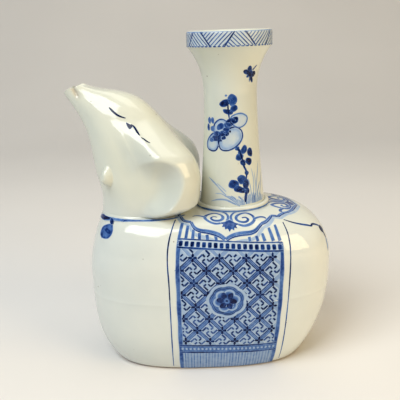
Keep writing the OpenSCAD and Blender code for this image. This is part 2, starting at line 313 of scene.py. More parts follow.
def new_mesh(name, verts, faces):
    """Mesh in metres from points in millimetres."""
    mesh = bpy.data.meshes.new(name)
    mesh.from_pydata((np.asarray(verts) / 1000).tolist(), [], faces)
    return mesh


def turn_faces(mesh, operator, chosen):
    work = bmesh.new()
    work.from_mesh(mesh)
    operator(work, faces=[face for face in work.faces if chosen(face)])
    work.to_mesh(mesh)
    work.free()


def closed_skin(name, verts, faces, sharp):
    """Object with its faces turned outwards; edges over sharp degrees stay crisp."""
    mesh = new_mesh(name, verts, faces)
    turn_faces(mesh, bmesh.ops.recalc_face_normals, lambda face: True)
    mesh.shade_smooth()
    mesh.set_sharp_from_angle(angle=np.radians(sharp))
    return link(name, mesh)


def grid_faces(rows, cols, start=0, wrap=False):
    k = start + np.arange(rows * cols).reshape(rows, cols)
    if wrap:
        k = np.concatenate([k, k[:, :1]], 1)
    return np.stack([k[:-1, :-1], k[:-1, 1:], k[1:, 1:], k[1:, :-1]], -1).reshape(-1, 4).tolist()


def loop_of_rings(name, *rings, sharp=38):
    """Closed skin whose rings follow each other right round a wall."""
    rings = np.concatenate([*rings, rings[0][:1]])
    return closed_skin(name, rings.reshape(-1, 3), grid_faces(*rings.shape[:2], wrap=True), sharp)


def wall(name, outer, inner, normals):
    """Closed skin between two open grids of the same size; normals shade the outer one."""
    rows, cols = outer.shape[:2]
    far = rows * cols
    k = np.arange(far).reshape(rows, cols)
    rim = np.concatenate([k[0], k[1:, -1], k[-1, -2::-1], k[-2:0:-1, 0]])
    after = np.roll(rim, -1)
    rim_faces = np.stack([rim, after, far + after, far + rim], -1).tolist()
    faces = grid_faces(rows, cols) + grid_faces(rows, cols, far) + rim_faces
    made = closed_skin(name, np.concatenate([outer.reshape(-1, 3), inner.reshape(-1, 3)]), faces, 50)
    mesh = made.data
    corner = np.zeros(len(mesh.loops) * 3, np.float32)
    mesh.corner_normals.foreach_get("vector", corner)
    corner = corner.reshape(-1, 3)
    vert = np.zeros(len(mesh.loops), np.int32)
    mesh.loops.foreach_get("vertex_index", vert)
    outside = 4 * (rows - 1) * (cols - 1)
    corner[:outside] = normals.reshape(-1, 3)[vert[:outside]]
    mesh.normals_split_custom_set(corner.tolist())
    return made


def grid_normals(surface, U, T, side):
    """Normals of the surface itself, level across the seam between the two halves of the head."""
    du, dt = 0.004, 0.2
    along, across = surface(U + du, T) - surface(U - du, T), surface(U, T + dt) - surface(U, T - dt)
    n = unit(np.cross(along, across))
    n[(T <= 0) | (T >= 180), 1] = 0
    n = unit(n)
    return n * np.sign(np.median(n[..., 1]) * side)


def lathe(name, profile):
    t = whole_turn(160)
    r, z = np.asarray(profile, float).T[..., None]
    return loop_of_rings(name, xyz(NECK_X + r * np.sin(t), -r * np.cos(t), z))


def arc(cx, cz, r, start, end, count):
    a = np.radians(np.linspace(start, end, count))
    return list(zip(cx + r * np.cos(a), cz + r * np.sin(a)))


# Skins of the pieces

AROUND = np.linspace(0, 360, 240, endpoint=False)


def rings_of(heights, insets):
    return body_point(AROUND, heights[:, None], np.reshape(insets, (-1, 1)))


def build_body():
    edge = np.radians(np.linspace(0, 90, 6))
    foot = rings_of(FOOT_EDGE * (1 - np.cos(edge)), FOOT_EDGE * (1 - np.sin(edge)))
    outer = rings_of(np.linspace(2.5, SEAM_H, 26), 0.0)
    inner = rings_of(np.linspace(SEAM_H, SLAB_T, 9), BODY_WALL)
    seat = body_point(AROUND, 0.0, FOOT_RIM)
    seat = np.stack([seat + [0, 0, SLAB_T], seat])
    lower = loop_of_rings("body_lower_skin", foot, outer, inner, seat)

    z = np.linspace(SEAM_H, SEAM_H + SLIP_T, 7)
    slip = loop_of_rings("body_seam_slip_skin", rings_of(z, 0.0), rings_of(z[::-1], BODY_WALL))

    z = np.concatenate([np.linspace(SEAM_H + SLIP_T, BELLY_H, 12), shoulder_rise(44)[1:]])
    outer = rings_of(z, 0.0)
    t = np.radians(AROUND)
    hole = xyz(NECK_X + BORE_FOOT_R * np.cos(t), BORE_FOOT_R * np.sin(t), BODY_H)
    deck = outer[-1] + (hole - outer[-1]) * np.linspace(0, 1, 9)[1:, None, None]
    under_deck = deck[::-1] - [0, 0, BODY_WALL]
    inner = rings_of(z[::-1], BODY_WALL)
    share = np.clip((z - BELLY_H) / (BODY_H - BELLY_H), 0, 1)[::-1]
    inner[..., 2] -= BODY_WALL * share[:, None]
    upper = loop_of_rings("body_upper_skin", outer, deck, under_deck, inner)
    return [lower, slip, upper]


def build_neck():
    h = np.concatenate([np.linspace(0, 60, 30), np.linspace(61, NECK_H, 40)])
    outer = np.stack([neck_radius(h), BODY_H + h], -1)
    straight = WAIST * NECK_H - BORE_LEN / 2, WAIST * NECK_H + BORE_LEN / 2
    down = np.linspace(1, 0, 16)
    bore_r = [*(BORE_R + (MOUTH_R - LIP_T - BORE_R) * ease(down, 0, 1)), BORE_R, BORE_FOOT_R]
    bore_h = [*(straight[1] + (NECK_H - straight[1]) * down), straight[0], 0]
    bore = np.stack([bore_r, BODY_H + np.array(bore_h)], -1)
    tube = lathe("neck_tube_skin", np.concatenate([outer, bore]))

    soft = COLLAR_H / 2
    collar = lathe("neck_collar_skin", (
        [(COLLAR_R - COLLAR_H, BODY_H), (COLLAR_R, BODY_H)]
        + arc(COLLAR_R - soft, BODY_H + soft, soft, 0, 180, 14)))

    lip, edge = LIP_T / 2, 0.5
    ring = lathe("mouth_ring_skin", (
        arc(MOUTH_R - edge, NECK_TOP + edge, edge, -90, 0, 5)
        + arc(MOUTH_R - lip, NECK_TOP + MOUTH_H - lip, lip, 0, 180, 18)
        + [(MOUTH_R - LIP_T, NECK_TOP)]))
    return [tube, collar, ring]


def rows_between(stops, counts):
    """Rows that meet every stop, so many in each stretch."""
    stretches = [np.linspace(a, b, n) for a, b, n in zip(stops, stops[1:], counts)]
    return np.unique(np.concatenate(stretches))


def build_head(side, name):
    """Half of the head, sunk a little where its ear and its tusk lie on it."""
    surface = head_surface(side)
    turns = rows_between((0, *TUSK_TURNS, 180), (11, 15, 55))
    rows = rows_between((0, *TUSK_ROWS, EAR_ROWS[1], HEAD_END), (24, 19, 21, 52))
    U, T = np.meshgrid(rows, turns, indexing="ij")
    under_ear = (T > EAR_TURNS[0]) & (U < EAR_ROWS[1])
    under_tusk = ((T > TUSK_TURNS[0]) & (T < TUSK_TURNS[1]) & (U > TUSK_ROWS[0]) & (U < TUSK_ROWS[1]))
    sunk = head_base(U, T, side, 0.4)[0]
    outer = np.where((under_ear | under_tusk)[..., None], sunk, surface(U, T))
    inset = HEAD_WALL + (SPOUT_WALL - HEAD_WALL) * U / HEAD_END
    inner = head_base(U, T, side, inset)[0] + lip_rise(U, T)[..., None] * LIPS_UP
    half = wall("head_" + name + "_skin", outer, inner, grid_normals(surface, U, T, side))
    mark = np.concatenate([lip_stain(U, T).ravel(), np.zeros(U.size)])
    half.data.attributes.new("stain", "FLOAT", "POINT").data.foreach_set("value", mark.astype(np.float32))

    made = [half]
    for part, rows, turns in (
        ("ear_", np.linspace(*EAR_ROWS, 120), np.linspace(*EAR_TURNS, 110)),
        ("tusk_", np.linspace(*TUSK_ROWS, 48), np.linspace(*TUSK_TURNS, 42)),
    ):
        U, T = np.meshgrid(rows, turns, indexing="ij")
        back = head_base(U, T, side, 0.25)[0]
        made.append(wall(part + name + "_skin", surface(U, T), back, grid_normals(surface, U, T, side)))
    return made


def build_head_slip():
    turn = np.concatenate([np.arange(0, 180, 2), np.arange(180, 0, -2)])
    side = np.repeat([-1.0, 1.0], 90)
    # Section of the bead: how far inside the foot of the head and how far above the shoulder
    section = [(-1.1, 0.02), (-0.6, 0.25), (-0.2, 0.6), (0.1, 1.1), (4.4, 1.0), (4.4, 0.02)]
    inset, up = np.array(section).T[..., None]
    p = head_base(0, turn, side, inset)[0]
    p[..., 2] = shoulder_z(p[..., 0], p[..., 1]) + up
    return loop_of_rings("head_joint_slip_skin", p, sharp=80)


# Brushwork laid on the glaze

# Share of a stroke over which each of its ends tapers
TAPER_SHARE = 0.35


def curve(points, closed=False, per=14):
    """Smooth line through points, in so many steps from one to the next."""
    p = np.asarray(points, float)
    if len(p) == 2:
        return p[0] + (p[1] - p[0]) * np.linspace(0, 1, per)[:, None]
    p = np.concatenate([p[-1:], p, p[:2]] if closed else [p[:1], p, p[-1:]])
    t = np.linspace(0, 1, per, endpoint=False)[:, None]
    lines = [through(*p[i:i + 4], t) for i in range(len(p) - 3)]
    return np.concatenate(lines if closed else lines + [p[-1:]])


class Paint:
    """Strokes on one surface, gathered into one mesh with the strength of the cobalt at each point.

    surface turns two coordinates into points, core gives points inside it, and nudge is the step by
    which its slopes are measured. Widths and lifts above the glaze are in millimetres. ground is the
    strength into which the edge of the next stroke fades.
    """

    def __init__(self, name, surface, core, nudge=(0.05, 0.05)):
        self.name, self.surface, self.core, self.nudge = name, surface, core, nudge
        self.verts, self.faces, self.ink, self.count, self.ground = [], [], [], 0, 0.0

    def slopes(self, a, b):
        da, db = self.nudge
        along_a = (self.surface(a + da, b) - self.surface(a - da, b)) / (2 * da)
        return np.stack([along_a, (self.surface(a, b + db) - self.surface(a, b - db)) / (2 * db)])

    def grid(self, a, b, ink, lift, wrap=False):
        """Wash over a grid of coordinates, of one strength or of one for each point."""
        p = self.surface(a, b)
        n = unit(np.cross(*self.slopes(a, b)))
        n = n * np.sign(np.sum(n * (p - self.core(p)), -1, keepdims=True))
        rows, cols = a.shape
        self.verts.append((p + lift * n).reshape(-1, 3))
        self.ink.append(np.broadcast_to(ink, a.shape).reshape(-1))
        self.faces += grid_faces(rows, cols, self.count, wrap)
        self.count += rows * cols

    def stroke(self, points, width, ink, lift=0.09, taper=(1, 1), closed=False, soft=0.4, step=0.8):
        """Line through points; taper is the share of its width at each end, soft that of its edges."""
        c = curve(points, closed)
        if closed:
            c = np.concatenate([c, c[:1]])
        p = self.surface(*c.T)
        way = np.concatenate([[0], np.cumsum(np.linalg.norm(np.diff(p, axis=0), axis=1))])
        at = np.linspace(0, way[-1], max(4, int(way[-1] / step) + 2))
        c = np.stack([np.interp(at, way, line) for line in c.T], -1)
        scale = np.linalg.norm(self.slopes(*c.T), axis=-1).T
        ahead = np.gradient(c, axis=0)
        if closed:
            ahead[0] = ahead[-1] = ahead[0] + ahead[-1]
        ahead = unit(ahead * scale)
        share = at / max(way[-1], 1e-6)
        wide = 1 - (1 - taper[0]) * np.maximum(0, 1 - share / TAPER_SHARE) ** 2
        wide = wide - (1 - taper[1]) * np.maximum(0, 1 - (1 - share) / TAPER_SHARE) ** 2
        wide = wide * (1 + 0.10 * np.sin(at / 3.1 + rng.uniform(0, 6)))
        offset = wide[:, None] * np.array([-1, soft - 1, 1 - soft, 1]) * width / 2
        a = c[:, :1] - ahead[:, 1:] * offset / scale[:, :1]
        b = c[:, 1:] + ahead[:, :1] * offset / scale[:, 1:]
        tone = ink * (1 + 0.12 * np.sin(at / 4.3 + rng.uniform(0, 6)))
        self.grid(a, b, tone[:, None] * [0, 1, 1, 0] + self.ground * np.array([1, 0, 0, 1]), lift)

    def fill(self, outline, ink, edge=None, lift=0.06, per=6, rings=(0.02, 0.35, 0.65, 0.86, 1.0)):
        """Filled shape round its own middle; edge is the strength where the brush stopped."""
        c = curve(outline, True, per)
        mid = c.mean(0)
        edge = ink if edge is None else edge
        r = np.array(rings)[:, None]
        tone = np.interp(r, [0, 0.6, 0.9, 1.0], [ink, ink, edge, self.ground])
        self.grid(mid[0] + r * (c[:, 0] - mid[0]), mid[1] + r * (c[:, 1] - mid[1]), tone, lift, wrap=True)

    def dab(self, centre, size, lean, ink, edge=None, lift=0.08):
        """Oval touch of the brush, of two half sizes."""
        t = whole_turn(7)
        q = np.radians(lean)
        r = 1 + 0.10 * np.sin(2 * t + rng.uniform(0, 6)) + 0.07 * np.sin(3 * t + rng.uniform(0, 6))
        p, s = size[0] * r * np.cos(t), size[1] * r * np.sin(t)
        scale = np.linalg.norm(self.slopes(*centre), axis=-1)
        a = centre[0] + (p * np.cos(q) - s * np.sin(q)) / scale[0]
        b = centre[1] + (p * np.sin(q) + s * np.cos(q)) / scale[1]
        self.fill(np.stack([a, b], -1), ink, edge, lift)

    def finish(self):
        mesh = new_mesh(self.name, np.concatenate(self.verts), self.faces)
        ink = mesh.attributes.new("ink", "FLOAT", "POINT")
        ink.data.foreach_set("value", np.concatenate(self.ink).astype(np.float32))
        mesh.shade_smooth()
        turn_faces(mesh, bmesh.ops.reverse_faces, self.inward)
        return link(self.name, mesh)

    def inward(self, face):
        middle = np.array(face.calc_center_median()) * 1000
        return (middle - self.core(middle)) @ np.array(face.normal) < 0


def on_axis(p):
    return xyz(NECK_X, 0.0, p[..., 2])


def inside_body(p):
    return np.zeros_like(p) + [0, 0, 55]


def inside_head(p):
    return np.zeros_like(p) + [-48, 0, 135]


# Mouth, with trapezoids hatched one way and the spaces between them hatched the other way

def paint_mouth():
    b = Paint("paint_mouth", round_surface(mouth_radius, NECK_TOP), on_axis, (0.5, 0.05))
    low, top = 0.9, 8.8
    # Degrees round the mouth: one repeat, a trapezoid's long side, how far its sides run in, the
    # lean of the hatching and the distance between its lines
    repeat, wide, left, right, lean, apart = 60, 46, 14, 13, 18, 5.6

    def slanted(foot, slant, start, end, count):
        return [(foot + slant * s, low + (top - low) * s) for s in np.linspace(start, end, count)]

    def hatch(foot, slant, start, end):
        start, end = np.clip([start, end], 0, 1)
        if end - start > 0.12:
            b.stroke(slanted(foot, slant, start, end, 5), 0.75, 0.72, lift=0.07, taper=(0.9, 0.6))
    T, H = np.meshgrid(np.linspace(0, 360, 145), [0.5, 0.8, 4, 7.6, 8.2, 8.6, 8.9], indexing="ij")
    b.grid(T, H, np.where((H < 0.6) | (H > top), 0.0, 0.1), 0.03)
    for t in range(-42, 318, repeat):
        corner = t + left, t + wide - right
        for foot, out in zip(corner, (-left, right)):
            b.stroke(slanted(foot, out, 1, 0, 6), 1.15, 0.88, taper=(0.8, 0.8))
        for foot in np.arange(t - left, corner[1], apart):
            hatch(foot, lean, (corner[0] - foot) / (lean + left), (corner[1] - foot) / (lean - right))
        for foot in np.arange(corner[1] + 4, t + repeat + lean, apart):
            start = (foot - corner[0] - repeat) / (lean - left)
            hatch(foot, -lean, start, (foot - corner[1]) / (lean + right))
    for t in range(0, 360, 6):
        b.stroke([(t, 0.7), (t + 4.2, 0.7)], 0.85, 0.72, taper=(0.6, 0.6))
    b.stroke([(t, top) for t in np.linspace(0, 360, 40)], 0.8, 0.36, lift=0.07, taper=(0.4, 0.4))
    return b.finish()


# Flowering stem on both faces of the neck

PETALS = [
    [(-13, 49), (-3, 51), (7, 51.4), (17.6, 49.4), (20.6, 45.7), (14.6, 42), (4.2, 39.2), (-10, 37.4),
     (-21.8, 37.7), (-27, 39.6), (-28, 43), (-23.8, 46.2)],
    [(-38.9, 47.6), (-52, 45), (-59.6, 41.4), (-57.6, 38), (-45, 36.7), (-35, 37.4), (-29.6, 40.4),
     (-29.6, 44)],
    [(-40, 48.8), (-38.6, 53), (-27, 55.9), (-16, 55.7), (-11, 53.2), (-18, 49.5), (-30, 47.6)],
    [(-2.5, 57.2), (7.9, 59), (21, 59.2), (32.6, 56.8), (29, 53.2), (18, 51.2), (8, 51.4), (0, 53.5)],
]
# Touches of the brush: place, two half sizes, lean and strength
FLOWER_HEART = [
    (-25, 51.8, 2.6, 2.1, 30, 0.72), (-32, 47.4, 2.6, 1.8, 0, 0.8), (-36, 44.6, 3.1, 2.2, 10, 0.86),
    (-46, 43.4, 1.9, 1.4, 20, 0.6), (-21, 47.6, 2.4, 1.9, 20, 0.85), (-13, 49.6, 2.5, 1.8, 35, 0.86),
    (-4, 54.4, 3.0, 2.6, 20, 0.93), (5, 55.6, 2.5, 2.1, 0, 0.96), (-10, 52.6, 2.2, 2.0, 0, 0.72),
    (-28.4, 44.4, 1.2, 2.4, 0, 0.93), (-18, 45, 1.5, 1.1, 30, 0.86), (-11.5, 47, 1.2, 1.0, 0, 0.86),
]
LEAVES_AND_BUDS = [
    (-14.6, 65.8, 3.4, 2.3, 25, 0.93), (1.0, 67.6, 3.1, 3.3, 0, 0.76), (3.6, 62.4, 2.8, 1.8, 25, 0.86),
    (-8.5, 60.6, 3.0, 1.7, -12, 0.88), (-12, 70.2, 0.7, 0.7, 0, 0.45), (-53, 55, 1.4, 2.1, 20, 0.66),
    (-43.6, 55.2, 1.4, 1.9, 0, 0.6), (-43.6, 50.2, 1.7, 1.9, 0, 0.56), (-56, 50.8, 1.4, 2.1, 0, 0.74),
    (22.6, 37.5, 2.1, 2.7, -15, 0.86), (36, 35.4, 2.0, 3.0, 0, 0.96), (12.6, 33.2, 2.8, 2.0, 15, 0.74),
    (32, 30.0, 2.4, 2.4, 25, 0.98), (19.3, 29.6, 1.9, 2.0, 0, 0.98), (8.8, 38.4, 1.4, 1.3, 0, 0.86),
    (14, 36, 1.4, 1.4, 0, 0.86), (26, 23.2, 1.4, 1.6, 0, 0.9), (0, 16.7, 3.6, 2.6, 10, 0.84),
    (15.4, 19.4, 3.1, 2.7, 0, 0.84), (8.4, 13.6, 3.0, 2.1, 0, 0.95), (23, 16.2, 2.3, 3.2, 0, 0.95),
    (15.2, 12.6, 2.6, 1.9, 0, 0.96), (24, 12.2, 2.0, 2.2, 0, 0.98),
]
# Lines: points, width and strength
STEMS = [
    ([(-8.4, 66), (-8, 61.5), (-6, 56.5)], 1.1, 0.88),
    ([(4.2, 39.7), (10, 38.1), (14, 36), (19, 31)], 1.6, 0.88),
    ([(19.3, 30), (21, 27.2), (25.6, 23.6), (23.8, 18)], 1.3, 0.88),
    ([(24, 13), (21.8, 9), (20.2, 5)], 2.0, 0.95),
    ([(-20, 49), (-28, 45.5), (-29.4, 41)], 1.4, 0.9),
]
LONG_BLADES = [
    ([(-52, 20.2), (-36, 16.8), (-23, 12.8), (-14, 10)], 1.2, 0.26),
    ([(-32, 17.2), (-22, 14.6), (-14, 12.2)], 0.8, 0.2),
    ([(-36, 10.5), (-24, 10.8), (-16, 9.6)], 0.8, 0.2),
    ([(-44, 5.2), (-29, 7), (-14, 7), (-0.4, 4.8), (10, 3.1)], 1.3, 0.3),
    ([(-22, 10.5), (-10, 8.6), (4, 5.2)], 1.2, 0.34), ([(-12, 9.6), (-2, 8), (6, 4)], 1.2, 0.36),
    ([(37, 25.5), (41, 18), (38, 8)], 1.0, 0.24), ([(61, 29), (50, 17), (42, 5)], 1.0, 0.28),
    ([(60, 16), (50, 10), (45, 5)], 1.2, 0.42), ([(44, 23), (46, 14), (42, 6)], 0.9, 0.26),
    ([(71, 21), (62, 13), (52, 5)], 1.0, 0.28), ([(29, 19.5), (33, 12), (32, 5)], 0.9, 0.24),
]
GRASS_WASH = [
    (-24, 7.5), (-6, 9.5), (10, 9), (24, 10), (38, 11), (54, 9.5), (66, 6.5), (50, 3.8), (28, 3.5),
    (4, 3.4),
]
# Wings and tail of the insect: tip, width and strength
INSECT = [
    ((34.1, 87), 3.2, 0.95), ((22.7, 84.2), 2.8, 0.9), ((31, 80.2), 1.8, 0.85), ((48, 77), 2.2, 1.0),
    ((39.2, 77.4), 0.8, 0.6),
]


def paint_flower(b):
    b.ground = 0.0
    for petal, edge in zip(PETALS, (0.3, 0.3, 0.28, 0.16)):
        b.fill(petal, 0.11, edge, lift=0.05)
    for petal, ink in zip(PETALS, (0.8, 0.8, 0.7, 0.5)):
        b.stroke(petal, 1.15, ink, closed=True, lift=0.07)
    b.ground = 0.3
    for t, h, along, up, lean, ink in FLOWER_HEART:
        b.dab((t, h), (along, up), lean, ink, 0.85 * ink)
    for k in range(6):
        b.dab((-24 + 3.8 * k, 43.4 + 1.1 * k), (0.7, 0.7), 0, 0.95)
    b.ground = 0.5
    for t, h, along, up, lean, ink in LEAVES_AND_BUDS:
        b.dab((t, h), (along, up), lean, ink, 0.8 * ink)
    for points, width, ink in STEMS:
        b.stroke(points, width, ink, lift=0.1, taper=(0.4, 0.4))


def paint_grass(b):
    """Thin wash at the foot, short blades that lean both ways and a few long ones."""
    b.ground = 0.0
    b.fill(GRASS_WASH, 0.1, 0.06, lift=0.04)

    def blade(points, width, ink):
        b.stroke(points, rng.uniform(*width), rng.uniform(*ink), taper=(0.7, 0.2), lift=0.06)
    for k in range(15):
        foot = 22 + 3.1 * k
        tip = foot + rng.uniform(-2, 9)
        h = rng.uniform(8.5, 12.5) - 0.2 * k
        blade([(foot, 3.7), ((foot + tip) / 2 - 1, 0.55 * h + 1.5), (tip, h)], (0.9, 1.6), (0.26, 0.5))
    for foot in range(7, 21, 2):
        h = rng.uniform(6.5, 10)
        tip = foot - rng.uniform(8, 15)
        blade([(foot, 3.5), (foot - 4, 0.5 * h + 2.4), (tip, h)], (0.8, 1.3), (0.26, 0.44))
    for points, width, ink in LONG_BLADES:
        b.stroke(points, width, ink, taper=(0.15, 0.7), lift=0.05)


def paint_insect(b):
    b.ground = 0.6
    body = np.array([38.6, 82.4])
    for tip, width, ink in INSECT:
        b.stroke([body, (body + tip) / 2, tip], width, ink, taper=(0.5, 0.3), step=0.5)
    b.dab((48.6, 82), (1.8, 2.0), 0, 1.0, lift=0.11)
    b.dab((40, 82.2), (2.0, 1.9), 0, 1.0, lift=0.11)
    b.stroke([(44, 84.3), (53.2, 87)], 0.9, 0.7, taper=(1, 0.6))


def paint_neck():
    b = Paint("paint_neck", round_surface(neck_radius, BODY_H), on_axis, (0.5, 0.05))
    for facing in (0, 180):
        b.surface = round_surface(neck_radius, BODY_H, facing)
        paint_flower(b)
        paint_grass(b)
        paint_insect(b)
    return b.finish()


# Painted collar on the shoulder, by degrees and millimetres round its own middle

CLOUD_X = 13.7
# Its edge on one side, in arcs that meet in cusps
CLOUD_ARCS = [
    [(-58, 39), (-49.6, 41.2), (-42.2, 43.9), (-38.6, 43.6), (-35.5, 42.6)],
    [(-35.5, 42.6), (-31.5, 44.3), (-27, 44.1), (-20, 42.6), (-12, 42), (-6.4, 42.7)],
    [(-6.4, 42.7), (-0.7, 41.3), (5.9, 40.8), (14, 41.1), (19, 40.9), (22.6, 39.9), (26, 38.9)],
    [(26, 38.9), (31, 38.7), (36.7, 37.3), (40.7, 36.1)],
    [(40.7, 36.1), (43.4, 37), (45.8, 38.7)],
    [(45.8, 38.7), (51.2, 38.4), (57, 38.7), (62, 39.9), (70, 40.8), (80, 41.4), (90, 43.2)],
]
# Half of the ornament on a lobe, in millimetres across the lobe and outwards
SPIRAL = [
    (3.8, 36), (8.5, 36.8), (12.7, 35), (14.8, 31.5), (13, 26.8), (9.2, 24.4), (5.2, 27.7), (3.9, 32),
    (5.6, 34.3), (9.2, 34.5), (11.1, 32.5), (9.6, 30.4), (7.4, 31.2),
]
SPIRAL_TAIL = [(14.4, 31.4), (17.8, 28.9), (20.6, 28.5), (22.4, 30.2)]
SPIRAL_STEM = [(1.6, 35), (0.8, 30.6), (2.6, 24.4), (6.6, 20.6)]
PALMETTE = [(3, 35.2), (5.8, 36.1), (4.1, 37.1), (4.7, 38.5), (3.1, 38.4), (2.8, 39.6), (1.2, 39.2)]


def cloud_edge(grow):
    """The arcs of both sides in plan, moved outwards by grow."""
    for line in CLOUD_ARCS:
        turn, r = np.array(line).T
        t = np.radians(turn)
        x, y = CLOUD_X + (r + grow) * np.sin(t), (r + grow) * np.cos(t)
        yield np.stack([x, -y], -1)
        yield np.stack([x, y], -1)


def scrolls(b, tip, push=0.0, size=1.0, weight=1.0):
    """Two facing spirals with a palmette, on the lobe that points to tip."""
    t = np.radians(tip)

    def at(points, mirror=1):
        p, q = np.array(points).T * [[mirror * size], [1]] + [[0], [push]]
        x, y = p * np.cos(t) + q * np.sin(t), p * np.sin(t) - q * np.cos(t)
        return np.stack([CLOUD_X + x, y], -1)
    for mirror in (-1, 1):
        b.stroke(at(SPIRAL, mirror), 2.3 * weight, 0.64, taper=(0.7, 0.5), lift=0.06)
        b.stroke(at(SPIRAL_TAIL, mirror), 2.0 * weight, 0.62, taper=(0.8, 0.1), lift=0.07)
        b.stroke(at(SPIRAL_STEM, mirror), 1.9 * weight, 0.6, taper=(0.8, 0.3), lift=0.07)
    other_half = [(-p, q) for p, q in PALMETTE[::-1]]
    b.fill(at([(0, 33.4)] + PALMETTE + [(0, 40.4)] + other_half), 0.72, 0.8, lift=0.08, per=3)


def paint_collar():
    b = Paint("paint_collar", shoulder_surface, inside_body)
    # Halo, line and its dark edge: way out, width, strength, lift and softness
    for grow, width, ink, lift, soft in (
        (2.2, 2.4, 0.18, 0.05, 0.3), (0.0, 2.7, 0.56, 0.08, 0.4), (0.7, 1.1, 0.74, 0.1, 0.4),
    ):
        for line in cloud_edge(grow):
            b.stroke(line, width, ink, lift, (0.8, 0.8), soft=soft)
    scrolls(b, -3.2)
    scrolls(b, 183.2)
    scrolls(b, 90, 2.0, 0.95, 1.3)
    return b.finish()


def paint_neck_ring():
    ring = round_surface(lambda h: COLLAR_R + 0.05 + 0 * h, BODY_H)
    b = Paint("paint_neck_ring", ring, on_axis, (0.5, 0.05))
    b.stroke([(t, 0.75) for t in np.linspace(0, 360, 60)], 1.4, 0.5)
    return b.finish()


# Saddle cloth, by share of its width and by the way up the side

CLOTH_WID = 62.0
# Foot of the fretted ground and top of the fringe, with the hem between them
CLOTH_LOW, CLOTH_HEM = 20.4, 15.2
# Height of the row of beads over the fretted ground
BEADS_H = 5.0
# Half diagonals of a cell of the fret
CELL_A, CELL_V = 0.124, 7.8
ACROSS = np.linspace(0, 1, 45)


def cloth_left(v):
    return -20.9 + 4.4 * (np.maximum(0, v - 60) / 37.5) ** 3


def cloth_right(v):
    return 43 - 6.1 * (np.maximum(0, 77 - v) / 75) ** 1.5 - 2.7 * (np.maximum(0, v - 77) / 17.4) ** 2.5


def cloth_top(a):
    return 84.4 - 3.0 * a


def cloth_foot(a):
    return 2.3 * a - 0.4


def cloth_surface(sign):
    base = side_surface(sign)

    def at(a, v):
        x = cloth_left(v) + (cloth_right(v) - cloth_left(v)) * a
        return base(x, v - 0.04 * (x - 10))
    return at


def fading(v):
    """Thins the blue of the ground towards its foot."""
    return ease(v, 24, 60)


def fret(b, a0, v0):
    """Hooked key fret in a diamond cell; p and q run along the sides of the cell."""
    def at(points):
        return [(a0 + CELL_A * (p - q), v0 + CELL_V * (p + q)) for p, q in points]

    def kept(points):
        held = [(min(0.985, max(0.015, a)), v) for a, v in points]
        return [(a, min(cloth_top(a), max(CLOTH_LOW, v))) for a, v in held]

    def inside(points):
        return all(0.02 < a < 0.98 and CLOTH_LOW < v < cloth_top(a) for a, v in points)
    worn = 0.8 + 0.2 * fading(v0)
    corners = np.array([(-1, -1), (1, -1), (1, 1), (-1, 1), (-1, -1)])
    sides = list(zip(corners, corners[1:]))
    steps = (0.02, 0.25, 0.5, 0.75, 0.98)
    cell = [0.4 * (start * (1 - k) + end * k) for start, end in sides for k in steps]
    b.ground = 0.1
    b.fill(kept(at(cell)), 0.2, lift=0.06, per=2, rings=(0.02, 0.5, 0.94, 1.0))
    b.ground = 0.36
    for start, end in sides:
        for size, width, ink in ((0.41, 0.8, 0.82), (0.485, 0.65, 0.66)):
            line = at([size * start, size * end])
            if inside(line):
                b.stroke(line, width, ink * worn)
    b.ground = 0.18
    for k in range(4):
        c, s = np.cos(np.pi / 2 * k), np.sin(np.pi / 2 * k)
        hook = at([(x * c - y * s, x * s + y * c) for x, y in ((0.08, 0.0), (0.27, 0.0), (0.27, 0.33))])
        for line in (hook[:2], hook[1:]):
            if inside(line):
                b.stroke(line, 1.3, 0.95 * worn, lift=0.1)


def paint_lattice(b):
    """Frets in every other diamond, and a cross of four dabs where their corners meet."""
    for j in range(-7, 4):
        for i in range(-1, 10):
            v = 70.4 + CELL_V * j
            a = 0.032 + CELL_A * i + 0.0007 * (71 - v)
            if (i + j) % 2:
                if -0.08 < a < 1.08 and CLOTH_LOW - 5 < v < cloth_top(a) + 5:
                    fret(b, a, v)
            elif 0.01 < a < 0.985 and CLOTH_LOW + 0.5 < v < cloth_top(a) - 1:
                b.ground = 0.5
                for da, dv in ((1, 0), (-1, 0), (0, 1), (0, -1)):
                    size = (0.75 + 0.5 * abs(da), 0.75 + 0.6 * abs(dv))
                    b.dab((a + 0.024 * da, v + 1.45 * dv), size, 0, 1.0, lift=0.11)


def paint_borders(b):
    """Bands down the sides, a row of square beads at the top and a dotted hem below."""
    b.ground = 0.2
    for a in (0.014, 0.986):
        band = [(a, v) for v in np.linspace(cloth_foot(a), cloth_top(a) + BEADS_H, 12)]
        b.stroke(band, 2.8, 0.66, taper=(0.9, 0.9), lift=0.12)
    A, S = np.meshgrid(ACROSS, np.linspace(0, 1, 6))
    b.grid(A, cloth_top(A) + BEADS_H * S, 0.13, 0.12)
    for up, width in ((0.0, 1.3), (BEADS_H, 0.9)):
        b.stroke([(a, cloth_top(a) + up) for a in np.linspace(0, 1, 14)], width, 0.78, lift=0.14)
    q = whole_turn(12)
    square = np.stack([1.25 / CLOTH_WID * spow(np.cos(q), 0.5), 1.7 * spow(np.sin(q), 0.5)], -1)
    for a in np.linspace(0.03, 0.97, 18):
        b.fill(square + [a, cloth_top(a) + 2.3], 0.9, 0.78, lift=0.14, per=2)
    b.grid(*np.meshgrid(ACROSS, np.linspace(CLOTH_HEM, CLOTH_LOW, 6), indexing="ij"), 0.55, 0.12)
    for a in np.linspace(0.03, 0.97, 24):
        b.dab((a, 17.9), (0.7, 0.9), 0, 0.22, 0.27, lift=0.14)
    for v in (CLOTH_HEM, CLOTH_LOW):
        b.stroke([(a, v) for a in np.linspace(0, 1, 14)], 1.3, 0.86, lift=0.15)


